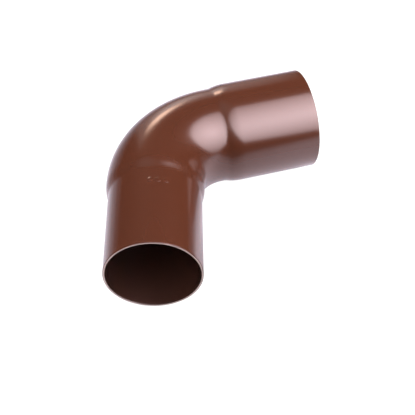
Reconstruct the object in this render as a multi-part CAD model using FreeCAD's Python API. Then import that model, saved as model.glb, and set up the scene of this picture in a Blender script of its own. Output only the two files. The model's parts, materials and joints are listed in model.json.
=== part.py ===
import FreeCAD, Part
import math
import os

# A round downspout elbow, moulded in one piece with an even wall.
# A spigot slips inside the pipe below, a smooth bend of the pipe's own diameter turns the flow,
# and a socket takes the pipe above. A soft shoulder joins the spigot to the bend, and a soft
# flare joins the bend to the socket.
# Millimetres. The origin is the centre of the spigot's mouth and the elbow lies flat: its two
# axes are in the plane Z = 0, the spigot runs along +Y and the bend turns towards +X.

# The pipe that the elbow joins, and the fit of both joints
PIPE_DIAMETER = 90.0
WALL = 2.0
FIT_GAP = 0.4

# The run of the elbow, from the spigot's mouth to the socket's
SPIGOT_LENGTH = 87.0
SHOULDER_LENGTH = 15.0
BEND_ANGLE = 75.0
BEND_RADIUS = 73.0
FLARE_LENGTH = 18.0
SOCKET_DEPTH = 74.0

# Outside at the foot of a step in width, and at the two edges of each rim
FOOT_ROUNDING = 16.0
RIM_CHAMFER = 0.4

# Outer radii of the three widths: inside the pipe, the pipe's own, and over the pipe
BODY_RADIUS = PIPE_DIAMETER / 2.0
SPIGOT_RADIUS = BODY_RADIUS - WALL - FIT_GAP
SOCKET_RADIUS = BODY_RADIUS + FIT_GAP + WALL

# Straight lengths: up to where the bend starts, and from the bend's end
SPIGOT_LEG = SPIGOT_LENGTH + SHOULDER_LENGTH
SOCKET_LEG = FLARE_LENGTH + SOCKET_DEPTH

ORIGIN = FreeCAD.Vector(0, 0, 0)
X_AXIS = FreeCAD.Vector(1, 0, 0)
Y_AXIS = FreeCAD.Vector(0, 1, 0)
Z_AXIS = FreeCAD.Vector(0, 0, 1)


def section_point(station):
    """A station is (radius, length along the leg); a leg's half section is drawn in XZ."""
    radius, length = station
    return FreeCAD.Vector(radius, 0, length)


def straight(start, end):
    return Part.LineSegment(section_point(start), section_point(end)).toShape()


def arc(start, middle, end):
    return Part.Arc(section_point(start), section_point(middle), section_point(end)).toShape()


def step(narrow, wide, foot_radius):
    """Two tangent arcs that widen the wall, parallel to the axis at both ends.

    The first arc is the hollow one at the step's foot, with the foot radius, and the second
    is the rounded crown, whose radius follows from the step's rise and length.
    """
    rise = wide[0] - narrow[0]
    run = wide[1] - narrow[1]
    slope = 2.0 * math.atan2(rise, run)
    crown_radius = run / math.sin(slope) - foot_radius
    half_rise = 1.0 - math.cos(slope / 2.0)
    half_run = math.sin(slope / 2.0)
    foot_middle = (narrow[0] + foot_radius * half_rise, narrow[1] + foot_radius * half_run)
    crown_middle = (wide[0] - crown_radius * half_rise, wide[1] - crown_radius * half_run)
    joint_radius = narrow[0] + foot_radius * (1.0 - math.cos(slope))
    joint = (joint_radius, narrow[1] + foot_radius * math.sin(slope))
    return [arc(narrow, foot_middle, joint), arc(joint, crown_middle, wide)]


def side(stations, foot_radius):
    """One side of the wall through its stations: straight, or a step where the radius grows."""
    edges = []
    for start, end in zip(stations, stations[1:]):
        if end[0] > start[0]:
            edges += step(start, end, foot_radius)
        else:
            edges.append(straight(start, end))
    return edges


def rim(outer_radius, length, outward):
    """A mouth's flat rim with its two edges broken. It faces along the leg if outward is 1,
    and back along it if outward is -1.
    """
    inner_radius = outer_radius - WALL
    shoulder = length - outward * RIM_CHAMFER
    inner_edge = (inner_radius + RIM_CHAMFER, length)
    outer_edge = (outer_radius - RIM_CHAMFER, length)
    inner_chamfer = straight((inner_radius, shoulder), inner_edge)
    outer_chamfer = straight(outer_edge, (outer_radius, shoulder))
    return [inner_chamfer, straight(inner_edge, outer_edge), outer_chamfer]


def leg(outer_stations, mouth_radius, mouth_length, outward):
    """A straight leg on +Z: its half section turned right round. The inside follows the
    outside at an even wall, and the end away from the mouth is cut flat to meet the bend.
    """
    inner_stations = [(radius - WALL, length) for radius, length in outer_stations]
    edges = rim(mouth_radius, mouth_length, outward)
    edges += side(outer_stations, FOOT_ROUNDING)
    edges += side(inner_stations, FOOT_ROUNDING + WALL)
    joined = -1 if outward < 0 else 0
    edges.append(straight(inner_stations[joined], outer_stations[joined]))
    section = Part.Face(Part.Wire(Part.sortEdges(edges)[0]))
    return section.revolve(ORIGIN, Z_AXIS, 360)


def spigot_leg():
    """The spigot and its shoulder, from the mouth at 0 to the bend."""
    stations = [
        (SPIGOT_RADIUS, RIM_CHAMFER),
        (SPIGOT_RADIUS, SPIGOT_LENGTH),
        (BODY_RADIUS, SPIGOT_LEG),
    ]
    return leg(stations, SPIGOT_RADIUS, 0.0, -1)


def socket_leg():
    """The flare and the socket, from the bend at 0 to the mouth."""
    stations = [
        (BODY_RADIUS, 0.0),
        (SOCKET_RADIUS, FLARE_LENGTH),
        (SOCKET_RADIUS, SOCKET_LEG - RIM_CHAMFER),
    ]
    return leg(stations, SOCKET_RADIUS, SOCKET_LEG, 1)


def heading(turn):
    """The direction of the centre line after a turn of so many degrees from the spigot."""
    return FreeCAD.Vector(math.sin(math.radians(turn)), math.cos(math.radians(turn)), 0)


def bend_point(turn):
    """The point of the bend's centre line after a turn of so many degrees."""
    across = 1.0 - math.cos(math.radians(turn))
    along = math.sin(math.radians(turn))
    return FreeCAD.Vector(BEND_RADIUS * across, SPIGOT_LEG + BEND_RADIUS * along, 0)


def laid(standing_leg, start, turn):
    """A leg that stands on +Z, laid flat from its start with the centre line's heading there."""
    flat = standing_leg.copy()
    flat.rotate(ORIGIN, X_AXIS, -90)
    flat.rotate(ORIGIN, Z_AXIS, -turn)
    flat.translate(start)
    return flat


def bent_rod(radius):
    """A solid rod round the bend's centre line, from the spigot leg to the socket leg."""
    rod = Part.makeTorus(BEND_RADIUS, radius, ORIGIN, Z_AXIS, 0, 360, BEND_ANGLE)
    rod.rotate(ORIGIN, Z_AXIS, 180 - BEND_ANGLE)
    rod.translate(bend_point(0) + X_AXIS * BEND_RADIUS)
    return rod


def bend():
    """The bent tube between the two legs."""
    return bent_rod(BODY_RADIUS).cut(bent_rod(BODY_RADIUS - WALL))


def elbow():
    """Both legs and the bend as one moulded solid."""
    below = laid(spigot_leg(), ORIGIN, 0)
    above = laid(socket_leg(), bend_point(BEND_ANGLE), BEND_ANGLE)
    return below.fuse([bend(), above]).removeSplitter().Solids[0]


def describe(name, shape):
    """Print what the build gave, for reading against the drawing."""
    box = shape.optimalBoundingBox()
    corners = (box.XMin, box.YMin, box.ZMin, box.XMax, box.YMax, box.ZMax)
    mouth = bend_point(BEND_ANGLE) + heading(BEND_ANGLE) * SOCKET_LEG
    print(name, "valid", shape.isValid(), "volume", round(shape.Volume, 1))
    print("corners", [round(value, 3) for value in corners])
    print("socket mouth", mouth, "facing", heading(BEND_ANGLE))


os.makedirs("parts", exist_ok=True)
moulding = elbow()
describe("elbow", moulding)
moulding.exportStep("parts/elbow.step")
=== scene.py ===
"""A brown moulded downspout elbow on a pale studio floor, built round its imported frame.

Metres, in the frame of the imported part: the spigot's mouth is at the origin and faces -Y, the
bend turns towards +X in the plane Z = 0, and the elbow lies flat with +Z up. Bearings in the
studio are in degrees from +Y towards +X, and heights in degrees above the level.
"""

import json
import logging
import math
from dataclasses import dataclass
from enum import Enum
from typing import Any, Sequence

import bmesh
import bpy
from mathutils import Matrix, Vector


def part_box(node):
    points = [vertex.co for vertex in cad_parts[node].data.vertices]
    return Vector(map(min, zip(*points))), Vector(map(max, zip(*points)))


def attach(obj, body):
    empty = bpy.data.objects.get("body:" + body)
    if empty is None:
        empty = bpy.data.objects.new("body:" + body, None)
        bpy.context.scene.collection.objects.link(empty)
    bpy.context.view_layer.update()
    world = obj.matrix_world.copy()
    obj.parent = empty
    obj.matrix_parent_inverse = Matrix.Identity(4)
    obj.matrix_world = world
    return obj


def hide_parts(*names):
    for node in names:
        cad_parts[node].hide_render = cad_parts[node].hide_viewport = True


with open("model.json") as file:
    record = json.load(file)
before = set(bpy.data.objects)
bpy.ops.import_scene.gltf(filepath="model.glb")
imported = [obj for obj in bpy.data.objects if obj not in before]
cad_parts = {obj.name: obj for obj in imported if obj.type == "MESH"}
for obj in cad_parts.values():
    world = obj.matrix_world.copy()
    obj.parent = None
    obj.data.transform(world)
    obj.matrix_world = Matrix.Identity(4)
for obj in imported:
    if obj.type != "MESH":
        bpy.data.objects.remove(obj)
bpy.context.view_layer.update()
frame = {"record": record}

LOG = logging.getLogger("elbow")

NODE = "elbow"
BODY = "root"
MILLIMETRE = 0.001
QUARTER_TURN = math.pi / 2.0
WHITE = (1.0, 1.0, 1.0)


class Mouth(Enum):
    """The two open ends of the elbow, by their mount's name in the record."""

    SPIGOT = "spigot"
    SOCKET = "socket"


class Outward(Enum):
    """Which way a mouth faces along the centre line."""

    BACK = -1
    AHEAD = 1


class Face(Enum):
    """Which of the moulding's finishes a strip of its skin has, by material index."""

    OUTSIDE = 0
    INSIDE_PAINTED_SHADE = 1
    RIM = 2


class Panel(Enum):
    """The outline of a studio panel."""

    SQUARE = "square"
    ROUND = "round"


class Use(Enum):
    """What a studio panel is for: seen as a reflection, or shaping the light on matt colour."""

    SHINE = "shine"
    SHADE = "shade"


def mount(mouth: Mouth) -> dict[str, Any]:
    """The record's mount at one end.

    Args:
        mouth: Which end.

    Returns:
        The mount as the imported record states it.
    """
    for entry in frame["record"]["mounts"]:
        if entry["name"] == mouth.value:
            return entry
    raise KeyError(mouth.value)


def spread(start: float, end: float, count: int) -> list[float]:
    """Evenly spaced values after the start, up to and with the end.

    Args:
        start: Left out.
        end: The last value.
        count: How many.

    Returns:
        The values.
    """
    return [start + (end - start) * (i + 1) / count for i in range(count)]


def bearing_vector(bearing: float, height: float) -> Vector:
    """The direction at a bearing and a height.

    Args:
        bearing: Degrees from +Y towards +X.
        height: Degrees above the level.

    Returns:
        The unit vector.
    """
    turn, rise = math.radians(bearing), math.radians(height)
    level = math.cos(rise)
    return Vector((math.sin(turn) * level, math.cos(turn) * level, math.sin(rise)))


def put_in_scene(name: str, work: bmesh.types.BMesh) -> bpy.types.Object:
    """Makes a scene object of a bmesh and frees the bmesh.

    Args:
        name: The object's name.
        work: Its mesh.

    Returns:
        The object.
    """
    mesh = bpy.data.meshes.new(name)
    work.to_mesh(mesh)
    work.free()
    made = bpy.data.objects.new(name, mesh)
    bpy.context.scene.collection.objects.link(made)
    return made


def moulded_piece(name: str, work: bmesh.types.BMesh) -> bpy.types.Object:
    """Makes a smooth, closed piece of a bmesh, with its faces turned outwards.

    Args:
        name: The piece's name.
        work: Its mesh.

    Returns:
        The piece.
    """
    bmesh.ops.recalc_face_normals(work, faces=work.faces)
    for face in work.faces:
        face.smooth = True
    return put_in_scene(name, work)


@dataclass(frozen=True)
class Station:
    """One ring of the moulding: how far along the centre line, and its radius."""

    along: float
    radius: float


@dataclass(frozen=True)
class StepShape:
    """How a step in width looks on the real moulding, soft as it leaves the mould.

    It says how far before its stated start the step starts, how far after its stated end it
    ends, the slope between its two arcs, and the radius of the one at its foot.
    """

    early: float
    late: float
    slope: float
    foot: float


SOFT_SHOULDER = StepShape(early=0.0017, late=-0.0004, slope=math.radians(14.1), foot=0.018)
SOFT_FLARE = StepShape(early=-0.001, late=0.0004, slope=math.radians(15.2), foot=0.018)


def step_stations(narrow: Station, wide: Station, shape: StepShape, inset: float,
                  foot_count: int, crown_count: int) -> list[Station]:
    """A step in width: a hollow arc, a straight slope and a rounded arc, all tangent.

    Args:
        narrow: Where the step starts.
        wide: Where it ends.
        shape: Its slope, at most what two arcs alone would reach, and its foot's rounding.
        inset: How far inside the outer surface it is.
        foot_count: Rings in the hollow arc.
        crown_count: Rings in the rounded arc.

    Returns:
        The rings, from the first up to and with the last.
    """
    start = narrow.along - shape.early
    end = wide.along + shape.late
    rise, run = wide.radius - narrow.radius, end - start
    slope, foot = shape.slope, shape.foot + inset
    straight = rise / math.tan(slope / 2.0) - run
    crown = (run - straight * math.cos(slope)) / math.sin(slope) - foot
    rings = []
    for angle in [0.0] + spread(0.0, slope, foot_count):
        rings.append(Station(start + foot * math.sin(angle),
                             narrow.radius + foot * (1.0 - math.cos(angle))))
    for angle in [slope] + spread(slope, 0.0, crown_count):
        rings.append(Station(end - crown * math.sin(angle),
                             wide.radius - crown * (1.0 - math.cos(angle))))
    return rings


@dataclass
class ElbowForm:
    """The moulding's sizes, read from the frame where the record states them."""

    spigot_radius: float
    spigot_length: float
    body_radius: float
    socket_radius: float
    socket_depth: float
    turn: float
    bend_radius: float
    flare_length: float
    wall: float
    shoulder_length: float = 0.015
    shoulder: StepShape = SOFT_SHOULDER
    flare: StepShape = SOFT_FLARE
    rim_rounding: float = 0.00042

    @classmethod
    def from_frame(cls) -> "ElbowForm":
        """Works the sizes out from the two mounts and the node's box.

        The box is that of the node's plain mesh, so what it gives is rounded to 0.1 mm.

        Returns:
            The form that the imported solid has.
        """
        low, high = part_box(NODE)
        spigot = mount(Mouth.SPIGOT)
        socket = mount(Mouth.SOCKET)
        socket_bore = socket["dims"]["r_mm"] * MILLIMETRE
        wall = round((high.z - socket_bore) / MILLIMETRE, 1) * MILLIMETRE
        body_radius = round(-low.x / MILLIMETRE, 1) * MILLIMETRE
        spigot_length = spigot["dims"]["length_mm"] * MILLIMETRE
        socket_depth = socket["dims"]["length_mm"] * MILLIMETRE
        across, along = socket["axis"][0], socket["axis"][1]
        mouth_x, mouth_y = socket["pos_m"][0], socket["pos_m"][1]
        rest_y = mouth_y - spigot_length - cls.shoulder_length
        bend_radius = (rest_y * across - mouth_x * along) / (1.0 - along)
        socket_leg = (rest_y - bend_radius * across) / along
        return cls(
            spigot_radius=spigot["dims"]["r_mm"] * MILLIMETRE,
            spigot_length=spigot_length,
            body_radius=body_radius,
            socket_radius=socket_bore + wall,
            socket_depth=socket_depth,
            turn=math.atan2(across, along),
            bend_radius=bend_radius,
            flare_length=socket_leg - socket_depth,
            wall=wall,
        )

    @property
    def bend_start(self) -> float:
        """Length along the centre line where the bend starts."""
        return self.spigot_length + self.shoulder_length

    @property
    def bend_end(self) -> float:
        """Length along the centre line where the bend ends."""
        return self.bend_start + self.bend_radius * self.turn

    @property
    def socket_start(self) -> float:
        """Length along the centre line where the flare has reached the socket's width."""
        return self.bend_end + self.flare_length

    @property
    def length(self) -> float:
        """Length of the whole centre line."""
        return self.socket_start + self.socket_depth

    def centre(self, along: float) -> tuple[Vector, float]:
        """The centre line's point and heading.

        Args:
            along: Length from the spigot's mouth.

        Returns:
            The point, and the turn from +Y towards +X there.
        """
        turn = min(max((along - self.bend_start) / self.bend_radius, 0.0), self.turn)
        past = max(along - self.bend_end, 0.0)
        before = min(along, self.bend_start)
        across = self.bend_radius * (1.0 - math.cos(turn)) + past * math.sin(turn)
        forward = before + self.bend_radius * math.sin(turn) + past * math.cos(turn)
        return Vector((across, forward, 0.0)), turn

    def point(self, station: Station, angle: float) -> Vector:
        """A point of a ring.

        Args:
            station: The ring.
            angle: Angle round the centre line, 0 at the top and growing towards the bend's inside.

        Returns:
            The point.
        """
        centre, turn = self.centre(station.along)
        inward = Vector((math.cos(turn), -math.sin(turn), 0.0))
        outward = inward * math.sin(angle) + Vector((0.0, 0.0, math.cos(angle)))
        return centre + outward * station.radius


@dataclass(frozen=True)
class Grain:
    """A soft noise over a surface: how fine it is per metre, and its finer layers."""

    scale: float
    layers: float

    def value(self, tree: bpy.types.NodeTree, place: bpy.types.NodeSocket) -> bpy.types.NodeSocket:
        """Adds the noise to a material.

        Args:
            tree: The material's nodes.
            place: The coordinates that it follows.

        Returns:
            Its value.
        """
        node = tree.nodes.new("ShaderNodeTexNoise")
        node.inputs["Scale"].default_value = self.scale
        node.inputs["Detail"].default_value = self.layers
        tree.links.new(place, node.inputs["Vector"])
        return node.outputs["Fac"]


@dataclass(frozen=True)
class MouldedPlastic:
    """Glossy through-coloured plastic as it leaves the mould."""

    name: str = "moulded_brown"
    colour: tuple[float, float, float] = (0.0380, 0.0099, 0.0045)
    colour_deep: tuple[float, float, float] = (0.0350, 0.0091, 0.0041)
    clouds: Grain = Grain(scale=14.0, layers=3.0)
    roughness_low: float = 0.17
    roughness_high: float = 0.21
    gloss: Grain = Grain(scale=42.0, layers=5.0)
    wave: Grain = Grain(scale=16.0, layers=1.0)
    wave_depth: float = 0.00005
    peel: Grain = Grain(scale=420.0, layers=2.0)
    peel_depth: float = 0.0000025

    def material(self) -> bpy.types.Material:
        """Builds the material.

        Returns:
            The node material.
        """
        made = bpy.data.materials.new(self.name)
        made.use_nodes = True
        tree = made.node_tree
        shader = tree.nodes["Principled BSDF"]
        place = tree.nodes.new("ShaderNodeTexCoord").outputs["Object"]
        colours = tree.nodes.new("ShaderNodeMix")
        colours.data_type = "RGBA"
        colours.inputs["A"].default_value = (*self.colour_deep, 1.0)
        colours.inputs["B"].default_value = (*self.colour, 1.0)
        tree.links.new(self.clouds.value(tree, place), colours.inputs["Factor"])
        tree.links.new(colours.outputs["Result"], shader.inputs["Base Color"])
        shine = tree.nodes.new("ShaderNodeMapRange")
        shine.inputs["To Min"].default_value = self.roughness_low
        shine.inputs["To Max"].default_value = self.roughness_high
        tree.links.new(self.gloss.value(tree, place), shine.inputs["Value"])
        tree.links.new(shine.outputs["Result"], shader.inputs["Roughness"])
        waves = self.bump(tree, self.wave.value(tree, place), self.wave_depth, None)
        skin = self.bump(tree, self.peel.value(tree, place), self.peel_depth, waves)
        tree.links.new(skin, shader.inputs["Normal"])
        return made

    def bump(self, tree: bpy.types.NodeTree, height: bpy.types.NodeSocket, depth: float,
             under: bpy.types.NodeSocket | None) -> bpy.types.NodeSocket:
        """Adds a bump over another.

        Args:
            tree: The material's nodes.
            height: The height's pattern.
            depth: How far it stands, in metres.
            under: The normal that it changes, if there is one.

        Returns:
            The new normal.
        """
        node = tree.nodes.new("ShaderNodeBump")
        node.inputs["Distance"].default_value = depth
        tree.links.new(height, node.inputs["Height"])
        if under is not None:
            tree.links.new(under, node.inputs["Normal"])
        return node.outputs["Normal"]


OUTSIDE = MouldedPlastic()
# The inside's copy is darker than the outside: painted shade for the dim inside of the tube, with
# a rougher gloss.
INSIDE_PAINTED_SHADE = MouldedPlastic(
    name="moulded_brown_inside_painted_shade",
    colour=(0.0220, 0.0070, 0.0042),
    colour_deep=(0.0202, 0.0064, 0.0039),
    roughness_low=0.30,
    roughness_high=0.36,
)
# The rim's copy is a pale pinkish grey: partly the rough, scuffed cut face and partly a painted
# highlight for the light that the rim catches.
RIM_SCUFF_AND_HIGHLIGHT = MouldedPlastic(
    name="moulded_brown_rim_scuff_and_highlight",
    colour=(0.248, 0.190, 0.186),
    colour_deep=(0.070, 0.040, 0.038),
    clouds=Grain(scale=90.0, layers=3.0),
    roughness_low=0.40,
    roughness_high=0.50,
    gloss=Grain(scale=270.0, layers=5.0),
)


@dataclass
class ElbowMoulding:
    """The whole elbow as one closed skin: outside, both rims and inside."""

    form: ElbowForm
    finishes: tuple[MouldedPlastic, ...] = (OUTSIDE, INSIDE_PAINTED_SHADE, RIM_SCUFF_AND_HIGHLIGHT)
    name: str = "elbow_moulding"
    around: int = 192
    spigot_rings: int = 30
    foot_rings: int = 6
    crown_rings: int = 12
    bend_rings: int = 50
    socket_rings: int = 26
    rim_rings: int = 5

    def side(self, inset: float) -> list[Station]:
        """One side of the wall between the two rims.

        Args:
            inset: How far inside the outer surface this side is.

        Returns:
            Its rings, from the spigot's mouth.
        """
        form = self.form
        spigot, body, socket = (radius - inset for radius in (
            form.spigot_radius, form.body_radius, form.socket_radius))
        counts = (self.foot_rings, self.crown_rings)
        shoulder = step_stations(Station(form.spigot_length, spigot),
                                 Station(form.bend_start, body), form.shoulder, inset, *counts)
        flare = step_stations(Station(form.bend_end, body), Station(form.socket_start, socket),
                              form.flare, inset, *counts)
        first, last = form.rim_rounding, form.length - form.rim_rounding
        spigot_run = spread(first, shoulder[0].along, self.spigot_rings)[:-1]
        bend_run = spread(shoulder[-1].along, flare[0].along, self.bend_rings)[:-1]
        socket_run = spread(flare[-1].along, last, self.socket_rings)
        rings = [Station(along, spigot) for along in [first] + spigot_run]
        rings += shoulder
        rings += [Station(along, body) for along in bend_run]
        rings += flare
        rings += [Station(along, socket) for along in socket_run]
        return rings

    def rim(self, outer_radius: float, edge: float, outward: Outward) -> list[Station]:
        """A mouth's rim with rounded edges, from the outer side to the inner.

        Args:
            outer_radius: The outer surface's radius there.
            edge: The rim's place along the centre line.
            outward: Which way it faces.

        Returns:
            Its rings, without the ones that the sides have.
        """
        rounding = self.form.rim_rounding
        inner_radius = outer_radius - self.form.wall
        base = edge - outward.value * rounding
        rings = []
        for angle in spread(0.0, QUARTER_TURN, self.rim_rings):
            rings.append(Station(base + outward.value * rounding * math.sin(angle),
                                 outer_radius - rounding * (1.0 - math.cos(angle))))
        for angle in [QUARTER_TURN] + spread(QUARTER_TURN, 0.0, self.rim_rings):
            rings.append(Station(base + outward.value * rounding * math.sin(angle),
                                 inner_radius + rounding * (1.0 - math.cos(angle))))
        return rings[:-1]

    def mesh(self) -> bpy.types.Object:
        """Builds the skin: rings in order round the wall's section, the last joined to the first.

        Returns:
            The piece, not yet dressed.
        """
        form = self.form
        outside = self.side(0.0)
        inside = self.side(form.wall)
        socket_rim = self.rim(form.socket_radius, form.length, Outward.AHEAD)
        spigot_rim = self.rim(form.spigot_radius, 0.0, Outward.BACK)
        profile = outside + socket_rim + inside[::-1] + spigot_rim[::-1]
        corner = self.rim_rings
        strips = [Face.OUTSIDE] * (len(outside) - 1 + corner) + [Face.RIM]
        strips += [Face.INSIDE_PAINTED_SHADE] * (corner + len(inside) - 1 + corner) + [Face.RIM]
        strips += [Face.OUTSIDE] * corner
        return self.skin(profile, strips)

    def skin(self, profile: Sequence[Station], strips: Sequence[Face]) -> bpy.types.Object:
        """Joins each ring to the next, and the last to the first.

        Args:
            profile: The rings.
            strips: The finish from each ring to the next.

        Returns:
            The closed piece.
        """
        work = bmesh.new()
        rows = []
        for station in profile:
            rows.append([work.verts.new(self.form.point(station, math.tau * i / self.around))
                         for i in range(self.around)])
        for row, after, strip in zip(rows, rows[1:] + rows[:1], strips):
            for i in range(self.around):
                j = (i + 1) % self.around
                face = work.faces.new((row[i], after[i], after[j], row[j]))
                face.material_index = strip.value
        return moulded_piece(self.name, work)

    def dress(self, piece: bpy.types.Object) -> None:
        """Gives the skin its finishes and puts it in the node's place.

        Args:
            piece: The skin.
        """
        for finish in self.finishes:
            piece.data.materials.append(finish.material())
        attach(piece, BODY)
        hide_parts(NODE)


@dataclass
class MouldMarks:
    """A row of plain low pips that the mould leaves on the spigot, below the shoulder."""

    form: ElbowForm
    name: str = "mould_marks"
    along: float = 0.072
    angles: tuple[float, ...] = (-0.06, 0.11, 0.28)
    radius: float = 0.0032
    tip_radius: float = 0.00032
    rise: float = 0.00038
    root: float = 0.0003
    around: int = 32
    rings: int = 8

    def ring(self, angle: float, reach: float, height: float) -> list[Vector]:
        """One ring of a pip.

        Args:
            angle: The pip's place round the spigot.
            reach: The ring's radius, measured on the spigot's surface.
            height: How far the ring stands above that surface.

        Returns:
            Its points.
        """
        surface = self.form.spigot_radius
        points = []
        for i in range(self.around):
            way = math.tau * i / self.around
            station = Station(self.along + reach * math.sin(way), surface + height)
            points.append(self.form.point(station, angle + reach * math.cos(way) / surface))
        return points

    def mesh(self) -> bpy.types.Object:
        """Builds the pips, each a shallow dome closed by a root inside the wall.

        Returns:
            The piece, not yet dressed.
        """
        levels = [(self.radius, -self.root)]
        for reach in spread(self.radius, self.tip_radius, self.rings):
            swell = 0.5 + 0.5 * math.cos(math.pi * reach / self.radius)
            levels.append((reach, self.rise * swell))
        work = bmesh.new()
        for angle in self.angles:
            rows = [[work.verts.new(at) for at in self.ring(angle, *level)] for level in levels]
            for row, after in zip(rows, rows[1:]):
                for i in range(self.around):
                    j = (i + 1) % self.around
                    work.faces.new((row[i], row[j], after[j], after[i]))
            work.faces.new(rows[-1])
            work.faces.new(rows[0][::-1])
        return moulded_piece(self.name, work)

    def dress(self, piece: bpy.types.Object, skin: bpy.types.Object) -> None:
        """Gives the pips the skin's own outside finish and lets them ride with it.

        Args:
            piece: The pips.
            skin: The moulding that they are part of.
        """
        piece.data.materials.append(skin.data.materials[Face.OUTSIDE.value])
        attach(piece, BODY)


@dataclass(frozen=True)
class Softbox:
    """A studio panel that faces the elbow and is brightest at its middle.

    Its radiance falls to that of its edge between two lengths from the middle, which are shares
    of the panel's distance. Where across is under 1, the fall is as much longer sideways.
    """

    name: str
    bearing: float
    height: float
    distance: float
    wide: float
    tall: float
    radiance: float
    edge: float
    colour: tuple[float, float, float] = WHITE
    shape: Panel = Panel.SQUARE
    fade_from: float = 0.1
    fade_to: float = 1.0
    across: float = 1.0
    use: Use = Use.SHINE
    round_points: int = 48

    def build(self, aim: Vector) -> bpy.types.Object:
        """Hangs the panel.

        Args:
            aim: The point that it faces.

        Returns:
            The panel.
        """
        work = bmesh.new()
        if self.shape is Panel.ROUND:
            bmesh.ops.create_circle(work, cap_ends=True, segments=self.round_points, radius=0.5)
        else:
            bmesh.ops.create_grid(work, x_segments=1, y_segments=1, size=0.5)
        bmesh.ops.scale(work, vec=(self.wide, self.tall, 1.0), verts=work.verts)
        panel = put_in_scene(self.name, work)
        away = bearing_vector(self.bearing, self.height)
        panel.matrix_world = Matrix.LocRotScale(aim + away * self.distance,
                                                away.to_track_quat("Z", "Y"), None)
        panel.visible_camera = False
        panel.visible_glossy = self.use is Use.SHINE
        panel.visible_diffuse = self.use is Use.SHADE
        panel.data.materials.append(self.glow())
        return panel

    def glow(self) -> bpy.types.Material:
        """A glow that fades away from the panel's middle.

        Returns:
            The node material.
        """
        made = bpy.data.materials.new(self.name)
        made.use_nodes = True
        tree = made.node_tree
        tree.nodes.clear()
        out = tree.nodes.new("ShaderNodeOutputMaterial")
        light = tree.nodes.new("ShaderNodeEmission")
        light.inputs["Color"].default_value = (*self.colour, 1.0)
        place = tree.nodes.new("ShaderNodeTexCoord").outputs["Object"]
        squashed = tree.nodes.new("ShaderNodeVectorMath")
        squashed.operation = "MULTIPLY"
        squashed.inputs[1].default_value = (self.across, 1.0, 1.0)
        tree.links.new(place, squashed.inputs[0])
        length = tree.nodes.new("ShaderNodeVectorMath")
        length.operation = "LENGTH"
        tree.links.new(squashed.outputs["Vector"], length.inputs[0])
        fade = tree.nodes.new("ShaderNodeMapRange")
        fade.inputs["From Min"].default_value = self.fade_from * self.distance
        fade.inputs["From Max"].default_value = self.fade_to * self.distance
        fade.inputs["To Min"].default_value = self.radiance
        fade.inputs["To Max"].default_value = self.edge
        tree.links.new(length.outputs["Value"], fade.inputs["Value"])
        tree.links.new(fade.outputs["Result"], light.inputs["Strength"])
        tree.links.new(light.outputs["Emission"], out.inputs["Surface"])
        return made


PANELS = (
    # The large soft light on the right, which the bend and the socket reflect
    Softbox(name="main_light", bearing=121.8, height=46.5, distance=1.25, wide=1.76, tall=2.62,
            radiance=15.1, edge=0.5, colour=(1.0, 0.832, 0.88), shape=Panel.ROUND,
            fade_from=0.02, fade_to=1.16, across=0.75),
    # The dimmer one on the left, which the bend's outer flank reflects
    Softbox(name="fill_light", bearing=-140.0, height=45.0, distance=1.4, wide=0.7, tall=0.6,
            radiance=7.0, edge=4.0, colour=(1.0, 0.86, 0.9), fade_from=0.0, fade_to=0.4),
    # The small warm one low at the back, which makes the streak along the bend
    Softbox(name="warm_light", bearing=-16.5, height=23.0, distance=1.5, wide=0.38, tall=0.28,
            radiance=16.5, edge=6.0, colour=(1.0, 0.67, 0.51), shape=Panel.ROUND,
            fade_from=0.0, fade_to=0.14),
    # The lit wall behind and the ceiling above
    Softbox(name="back_wall", bearing=-12.5, height=14.5, distance=1.7, wide=1.05, tall=1.07,
            radiance=2.7, edge=0.60, colour=(1.0, 0.92, 0.90), fade_from=0.0, fade_to=0.24),
    Softbox(name="ceiling", bearing=-60.0, height=68.0, distance=1.6, wide=1.2, tall=1.2,
            radiance=0.45, edge=0.2, colour=(1.0, 0.95, 0.95), shape=Panel.ROUND,
            fade_from=0.1, fade_to=0.4),
    # A light on the matt colour alone, from the side of the main light
    Softbox(name="side_light", bearing=80.0, height=45.0, distance=1.4, wide=0.8, tall=0.8,
            radiance=26.0, edge=26.0, use=Use.SHADE),
    # A black flag, low in front, keeps the room's light from reaching deep into the mouth
    Softbox(name="front_flag", bearing=168.0, height=12.0, distance=0.95, wide=1.7, tall=0.52,
            radiance=0.0, edge=0.0, use=Use.SHADE),
)


@dataclass(frozen=True)
class Crossing:
    """A soft line across the table, where one shade of painted light gives way to another.

    It lies across a bearing, and both its ends are lengths along that bearing from the middle
    of the table: at one the far shade is reached, and at the other the near one.
    """

    bearing: float
    far: float
    near: float

    def blend(self, tree: bpy.types.NodeTree, far_shade: bpy.types.NodeSocket | float,
              near_shade: bpy.types.NodeSocket | float) -> bpy.types.NodeSocket:
        """Blends the two shades across the line.

        Args:
            tree: The table material's nodes.
            far_shade: The shade on the far side.
            near_shade: The shade on the near side.

        Returns:
            The blended shade.
        """
        place = tree.nodes.new("ShaderNodeTexCoord").outputs["Object"]
        along = tree.nodes.new("ShaderNodeVectorMath")
        along.operation = "DOT_PRODUCT"
        along.inputs[1].default_value = bearing_vector(self.bearing, 0.0)
        tree.links.new(place, along.inputs[0])
        node = tree.nodes.new("ShaderNodeMapRange")
        node.interpolation_type = "SMOOTHSTEP"
        node.inputs["From Min"].default_value = self.far
        node.inputs["From Max"].default_value = self.near
        tree.links.new(along.outputs["Value"], node.inputs["Value"])
        for name, shade in (("To Min", far_shade), ("To Max", near_shade)):
            if isinstance(shade, float):
                node.inputs[name].default_value = shade
            else:
                tree.links.new(shade, node.inputs[name])
        return node.outputs["Result"]


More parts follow.
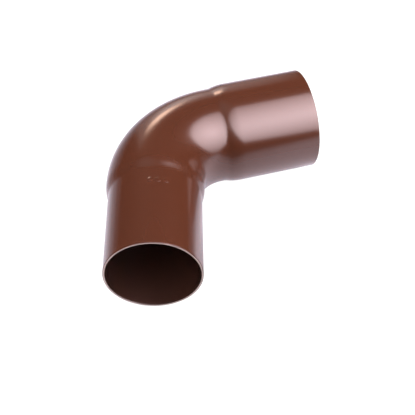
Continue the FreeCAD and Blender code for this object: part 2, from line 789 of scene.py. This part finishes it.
@dataclass(frozen=True)
class TableTop:
    """The table as the elbow reflects it: a glowing sheet of painted light and shade, bright near
    the elbow and dark far away.

    Its left and its right part have a shade each. What lies beyond a crossing has the darker
    shade that is paired with the crossing.
    """

    left: float = 0.207
    left_dark: tuple[tuple[Crossing, float], ...] = (
        (Crossing(bearing=107.0, far=-0.25, near=-0.08), 0.092),
        (Crossing(bearing=107.0, far=-0.57, near=-0.29), 0.02),
    )
    right: float = 0.255
    right_dark: tuple[tuple[Crossing, float], ...] = (
        (Crossing(bearing=20.0, far=0.285, near=0.17), 0.105),
        (Crossing(bearing=38.0, far=-0.01, near=0.18), 0.01),
    )
    left_to_right: Crossing = Crossing(bearing=121.0, far=-0.045, near=0.015)
    outer_dark: tuple[tuple[Crossing, float], ...] = (
        (Crossing(bearing=60.0, far=0.47, near=0.33), 0.04),
        (Crossing(bearing=0.0, far=0.82, near=0.36), 0.04),
    )
    tint: tuple[float, float, float] = (1.0, 0.93, 1.06)
    glow: float = 3.25

    def darkened(self, tree: bpy.types.NodeTree, shade: bpy.types.NodeSocket | float,
                 dark: Sequence[tuple[Crossing, float]]) -> bpy.types.NodeSocket | float:
        """Darkens a shade beyond each of some crossings.

        Args:
            tree: The table material's nodes.
            shade: The shade before them.
            dark: The crossings, each with the shade beyond it.

        Returns:
            The shade with them.
        """
        for crossing, beyond in dark:
            shade = crossing.blend(tree, beyond, shade)
        return shade

    def paint(self, tree: bpy.types.NodeTree) -> None:
        """Gives the table's matt material its shades of painted light, as its colour and as its
        glow.

        Args:
            tree: The material's nodes.
        """
        left = self.darkened(tree, self.left, self.left_dark)
        right = self.darkened(tree, self.right, self.right_dark)
        shade = self.left_to_right.blend(tree, left, right)
        shade = self.darkened(tree, shade, self.outer_dark)
        tinted = tree.nodes.new("ShaderNodeVectorMath")
        tinted.operation = "SCALE"
        tinted.inputs[0].default_value = self.tint
        tree.links.new(shade, tinted.inputs["Scale"])
        # The shades are painted light: the same values tint the colour and set the glow.
        shader = tree.nodes["Principled BSDF"]
        tree.links.new(tinted.outputs["Vector"], shader.inputs["Base Color"])
        tree.links.new(tinted.outputs["Vector"], shader.inputs["Emission Color"])
        shader.inputs["Emission Strength"].default_value = self.glow


@dataclass
class Studio:
    """The pale floor, the lights and the camera."""

    floor_z: float
    floor_size: float = 14.0
    floor_roughness: float = 0.9
    floor_paint: float = 0.09
    floor_glow: float = 1.0
    table_top: TableTop = TableTop()
    table_drop: float = 0.0005
    room_light: float = 3.8
    panels: tuple[Softbox, ...] = PANELS
    panel_aim: tuple[float, float, float] = (0.055, 0.12, 0.0)
    camera_aim: tuple[float, float, float] = (0.04785, 0.11427, -0.03986)
    camera_turn: float = -1.0892
    camera_height: float = 47.0555
    camera_distance: float = 0.88154
    camera_nearest: float = 0.01
    lens: float = 79.910
    sensor: float = 36.0

    def plane(self, name: str) -> bpy.types.Object:
        """Lays a level sheet as wide as the studio, with a matt material of its name.

        Args:
            name: The sheet's name.

        Returns:
            The sheet.
        """
        work = bmesh.new()
        bmesh.ops.create_grid(work, x_segments=1, y_segments=1, size=self.floor_size / 2.0)
        sheet = put_in_scene(name, work)
        sheet.location.z = self.floor_z
        paint = bpy.data.materials.new(name)
        paint.use_nodes = True
        shader = paint.node_tree.nodes["Principled BSDF"]
        shader.inputs["Roughness"].default_value = self.floor_roughness
        shader.inputs["Specular IOR Level"].default_value = 0.0
        sheet.data.materials.append(paint)
        return sheet

    def floor(self) -> bpy.types.Object:
        """Lays the pale floor that the picture shows, bright enough to hold no shadow.

        Returns:
            The floor.
        """
        ground = self.plane("pale_floor")
        shader = ground.active_material.node_tree.nodes["Principled BSDF"]
        shader.inputs["Base Color"].default_value = (*[self.floor_paint] * 3, 1.0)
        shader.inputs["Emission Color"].default_value = (*WHITE, 1.0)
        shader.inputs["Emission Strength"].default_value = self.floor_glow
        ground.visible_diffuse = False
        ground.visible_glossy = False
        ground.visible_shadow = False
        return ground

    def table(self) -> bpy.types.Object:
        """Lays the table that the elbow reflects, just under the floor, glowing with painted light
        and shade.

        Returns:
            The table.
        """
        top = self.plane("table")
        self.table_top.paint(top.active_material.node_tree)
        top.location.z -= self.table_drop
        top.visible_camera = False
        top.visible_diffuse = False
        return top

    def camera(self) -> bpy.types.Object:
        """Stands the camera in front of the spigot's mouth and above it.

        Returns:
            The camera.
        """
        back = bearing_vector(180.0 - self.camera_turn, self.camera_height)
        right = bearing_vector(90.0 - self.camera_turn, 0.0)
        turn = Matrix((right, back.cross(right), back)).transposed()
        data = bpy.data.cameras.new("camera")
        data.lens = self.lens
        data.sensor_width = self.sensor
        data.clip_start = self.camera_nearest
        eye = bpy.data.objects.new("camera", data)
        eye.matrix_world = Matrix.LocRotScale(
            Vector(self.camera_aim) + back * self.camera_distance, turn.to_quaternion(), None)
        bpy.context.scene.collection.objects.link(eye)
        bpy.context.scene.camera = eye
        return eye

    def world(self) -> None:
        """Fills the room with even light that no reflection shows."""
        room = bpy.data.worlds.new("room")
        room.use_nodes = True
        sky = room.node_tree.nodes["Background"]
        sky.inputs["Color"].default_value = (*WHITE, 1.0)
        sky.inputs["Strength"].default_value = self.room_light
        bpy.context.scene.world = room
        room.cycles_visibility.glossy = False

    def build(self) -> None:
        """Sets the whole studio up."""
        self.floor()
        self.table()
        self.world()
        for panel in self.panels:
            panel.build(Vector(self.panel_aim))
        self.camera()
        bpy.context.scene.view_settings.view_transform = "Standard"


def main() -> None:
    """Builds the elbow and its studio, and reports each piece."""
    logging.basicConfig(level=logging.INFO, format="%(name)s: %(message)s")
    form = ElbowForm.from_frame()
    LOG.info("form %s", form)
    moulding = ElbowMoulding(form)
    skin = moulding.mesh()
    moulding.dress(skin)
    marks = MouldMarks(form)
    pips = marks.mesh()
    marks.dress(pips, skin)
    for piece in (skin, pips):
        LOG.info("%s: %d faces", piece.name, len(piece.data.polygons))
    Studio(floor_z=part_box(NODE)[0].z).build()


if __name__ == "__main__":
    main()
